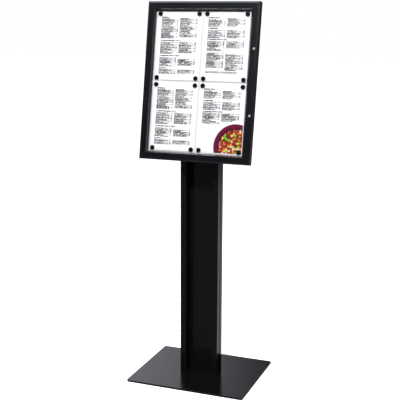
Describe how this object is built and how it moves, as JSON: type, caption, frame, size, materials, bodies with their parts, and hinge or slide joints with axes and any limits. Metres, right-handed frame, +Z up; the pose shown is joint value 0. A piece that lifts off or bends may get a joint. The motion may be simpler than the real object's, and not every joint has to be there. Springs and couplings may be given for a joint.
{
  "type": "lockable poster sign stand",
  "caption": "Black floor stand: a recessed column on a flat base plate carries a leaning, lockable case with a hinged glazed door over sheets held by magnets.",
  "frame": {"origin": "centre of the base plate's underside, on the floor", "axes": "+Z up the column; the display faces -Y; +X to the viewer's right"},
  "size_m": [0.545, 0.445, 1.6634],
  "materials": {
    "base_paint": "satin",
    "column_paint": "semi-gloss",
    "post_finish": "semi-gloss black powder coat",
    "frame_anodised": "black anodised, satin",
    "bracket_paint": "matt",
    "mill_aluminium": "satin",
    "zinc_steel": "satin",
    "lock_chrome": "polished",
    "white_steel": "gloss",
    "paper": "matt",
    "clear_pane": "clear, polished",
    "seal_rubber": "matt",
    "magnet_plastic": "gloss",
    "cap_plastic": "matt"
  },
  "bodies": {
    "root": {"back_panel_rivets": "frame_anodised", "back_stiffener_left": "zinc_steel", "back_stiffener_right": "zinc_steel", "base_bolts": "zinc_steel", "base_plate": "base_paint", "board_spacer_bottom": "mill_aluminium", "board_spacer_left": "mill_aluminium", "board_spacer_right": "mill_aluminium", "board_spacer_top": "mill_aluminium", "board_trim": "frame_anodised", "bracket_case_bolts": "zinc_steel", "bracket_post_bolts": "zinc_steel", "case_back_panel": "frame_anodised", "case_corner_brackets": "zinc_steel", "case_rail_bottom": "frame_anodised", "case_rail_top": "frame_anodised", "case_seal": "seal_rubber", "case_stile_left": "frame_anodised", "case_stile_right": "frame_anodised", "channel_screws": "zinc_steel", "column_channel": "column_paint", "column_post_left": "post_finish", "column_post_right": "post_finish", "hinge_case_screws": "zinc_steel", "hinge_fixed_leaf": "zinc_steel", "hinge_pin": "zinc_steel", "magnet_board": "white_steel", "magnets": "magnet_plastic", "post_cap_left": "cap_plastic", "post_cap_right": "cap_plastic", "post_foot_left": "zinc_steel", "post_foot_right": "zinc_steel", "sheet_lower_left": "paper", "sheet_lower_right": "paper", "sheet_upper_left": "paper", "sheet_upper_right": "paper", "tilt_bracket_left": "bracket_paint", "tilt_bracket_right": "bracket_paint"},
    "door": {"door_corner_keys": "mill_aluminium", "door_rail_bottom": "frame_anodised", "door_rail_top": "frame_anodised", "door_stile_left": "frame_anodised", "door_stile_right": "frame_anodised", "glazing_beads": "frame_anodised", "glazing_seal": "seal_rubber", "hinge_door_leaf": "zinc_steel", "hinge_door_screws": "zinc_steel", "lock_lower_housing": "lock_chrome", "lock_lower_nut": "zinc_steel", "lock_upper_housing": "lock_chrome", "lock_upper_nut": "zinc_steel", "pane": "clear_pane"},
    "lock_upper": {"lock_upper_plug": "lock_chrome", "lock_upper_cam": "zinc_steel", "lock_upper_cam_screw": "zinc_steel"},
    "lock_lower": {"lock_lower_plug": "lock_chrome", "lock_lower_cam": "zinc_steel", "lock_lower_cam_screw": "zinc_steel"}
  },
  "joints": [
    {"name": "door_hinge", "type": "hinge", "parent": "root", "child": "door", "pos_m": [-0.2488, -0.04038, 1.32742], "axis": [0, -0.1736, -0.9848], "range_deg": [0, 110]},
    {"name": "lock_upper_turn", "type": "hinge", "parent": "door", "child": "lock_upper", "pos_m": [0.2385, -0.03, 1.47181], "axis": [0, -0.9848, 0.1736], "range_deg": [0, 90]},
    {"name": "lock_lower_turn", "type": "hinge", "parent": "door", "child": "lock_lower", "pos_m": [0.2385, -0.07827, 1.19804], "axis": [0, -0.9848, 0.1736], "range_deg": [0, 90]}
  ]
}
